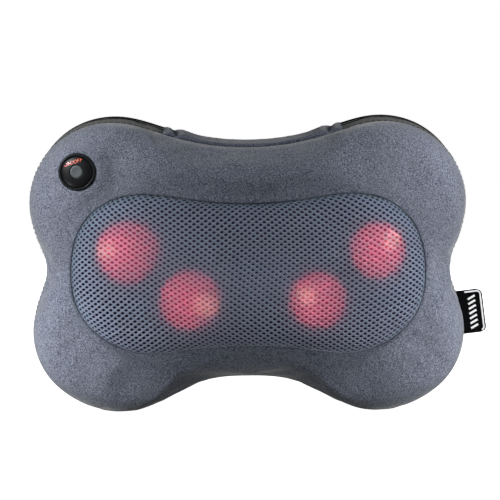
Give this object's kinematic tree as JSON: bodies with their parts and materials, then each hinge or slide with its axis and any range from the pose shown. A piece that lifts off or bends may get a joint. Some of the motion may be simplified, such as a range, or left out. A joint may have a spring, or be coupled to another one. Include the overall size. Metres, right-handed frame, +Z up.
{
  "type": "shiatsu neck massager pillow",
  "caption": "Bean-shaped plush massage pillow with an air-mesh window over red-lit massage caps turned by worm gears, a round power button, a side label and a carry strap.",
  "frame": {"origin": "middle of the flat outer face of the back panel, level with the axes of the two massage heads", "axes": "+X to the right as the massage side is faced, +Y out of the back panel, +Z up; the massage side faces -Y"},
  "size_m": [0.345, 0.1085, 0.2199],
  "materials": {
    "plush": "short-pile slate plush",
    "air_mesh": "open polyester air mesh",
    "lining": "thin dark knit",
    "gusset_cloth": "woven polyester",
    "foam": "open-cell foam",
    "label_cloth": "woven satin label",
    "zip_tape": "nylon coil zip",
    "black_plastic": "fine matt moulding",
    "gloss_black": "polished",
    "grey_rubber": "satin",
    "housing_plastic": "moulded ABS",
    "nylon": "natural nylon",
    "steel": "turned",
    "brass": "machined",
    "bronze": "sintered",
    "copper": "lacquered copper winding",
    "red_cap": "translucent, lit from behind",
    "lamp": "lit lamp",
    "board": "circuit board"
  },
  "bodies": {
    "pillow": {"front_cover": "plush", "mesh_window": "air_mesh", "window_lining": "lining", "side_gusset": "gusset_cloth", "back_panel": "gusset_cloth", "foam_surround": "foam", "back_foam": "foam", "carry_handle": "plush", "side_label": "label_cloth", "zip_chain": "zip_tape", "rear_housing": "housing_plastic", "front_housing": "housing_plastic", "housing_screw_lower_left": "steel", "housing_screw_upper_left": "steel", "housing_screw_lower_right": "steel", "housing_screw_upper_right": "steel", "strap_screw_lower": "steel", "strap_screw_upper": "steel", "motor_can": "steel", "motor_end_cap": "black_plastic", "motor_strap": "steel", "left_worm_bearing": "nylon", "right_worm_bearing": "nylon", "left_rear_bush": "bronze", "right_rear_bush": "bronze", "left_front_bush": "bronze", "right_front_bush": "bronze", "drive_board": "board", "control_bezel": "black_plastic", "control_face": "gloss_black", "control_cup": "black_plastic", "switch_board": "board", "tact_switch": "black_plastic", "indicator_lamp": "lamp", "power_inlet": "black_plastic", "inlet_ring": "steel"},
    "left_head": {"left_worm_wheel": "nylon", "left_output_shaft": "steel", "left_arm": "housing_plastic", "left_cap_screw": "steel", "left_large_cap": "red_cap", "left_small_cap": "red_cap", "left_large_lamp": "lamp", "left_small_lamp": "lamp"},
    "right_head": {"right_worm_wheel": "nylon", "right_output_shaft": "steel", "right_arm": "housing_plastic", "right_cap_screw": "steel", "right_large_cap": "red_cap", "right_small_cap": "red_cap", "right_large_lamp": "lamp", "right_small_lamp": "lamp"},
    "rotor": {"rotor_shaft": "steel", "left_worm": "brass", "right_worm": "brass", "armature": "copper"},
    "power_button": {"power_button": "grey_rubber", "switch_plunger": "grey_rubber"},
    "zip_slider": {"zip_slider": "steel"},
    "zip_pull": {"zip_pull": "steel"}
  },
  "joints": [
    {"name": "left_head_spin", "type": "hinge", "parent": "pillow", "child": "left_head", "pos_m": [-0.072, 0, 0], "axis": [0, 1, 0], "continuous": true},
    {"name": "right_head_spin", "type": "hinge", "parent": "pillow", "child": "right_head", "pos_m": [0.072, 0, 0], "axis": [0, 1, 0], "continuous": true},
    {"name": "rotor_spin", "type": "hinge", "parent": "pillow", "child": "rotor", "pos_m": [0, -0.0255, 0.0305], "axis": [1, 0, 0], "continuous": true},
    {"name": "power_button_press", "type": "slide", "parent": "pillow", "child": "power_button", "axis": [0.1054, 0.9895, -0.0989], "range_m": [0, 0.0012], "stiffness_N_per_m": 1200},
    {"name": "zip_slide", "type": "slide", "parent": "pillow", "child": "zip_slider", "axis": [1, 0, 0], "range_m": [0, 0.178]},
    {"name": "zip_pull_lift", "type": "hinge", "parent": "zip_slider", "child": "zip_pull", "pos_m": [-0.089, 0.00185, -0.038], "axis": [0, 0, 1], "range_deg": [0, 170]}
  ],
  "couplings": [
    {"joint": "right_head_spin", "follows": "left_head_spin", "ratio": -1},
    {"joint": "rotor_spin", "follows": "left_head_spin", "ratio": -32}
  ]
}
